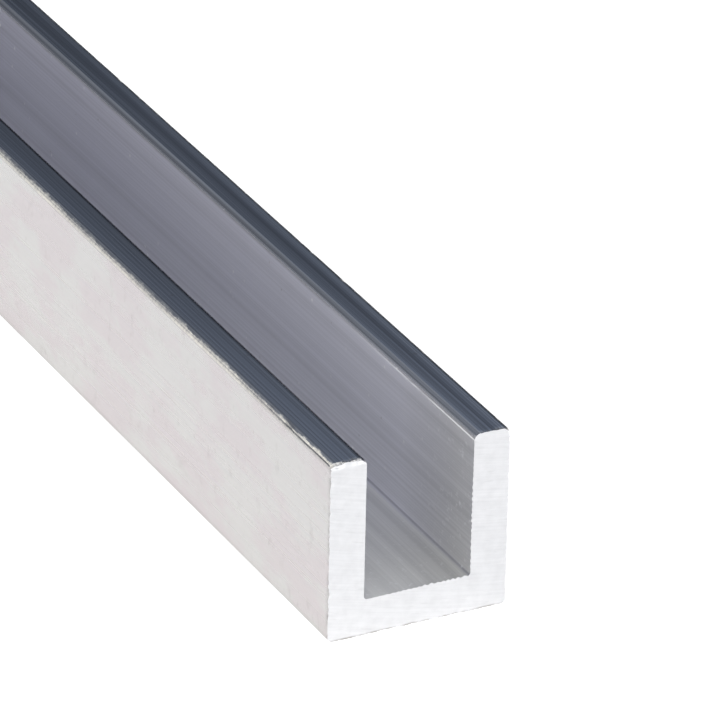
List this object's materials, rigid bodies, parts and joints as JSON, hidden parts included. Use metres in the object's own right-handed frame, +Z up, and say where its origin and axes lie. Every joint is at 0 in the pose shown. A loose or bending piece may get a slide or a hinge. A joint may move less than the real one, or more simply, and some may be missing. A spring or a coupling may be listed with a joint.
{
  "type": "aluminium u channel",
  "caption": "Straight bar of square, thick-walled aluminium U channel in mill finish, sawn square at both ends, lying on its web with the slot upwards.",
  "frame": {"origin": "middle of the web's outer face, which lies on the floor", "axes": "+X along the bar, towards the sawn end nearest the camera; +Y across it, from one flange to the other; +Z up, from the web to the flange tips"},
  "size_m": [0.5, 0.0158, 0.0159],
  "materials": {
    "mill_aluminium": "mill finish, as extruded, with sawn ends"
  },
  "bodies": {
    "root": {"u_channel": "mill_aluminium"}
  },
  "joints": []
}
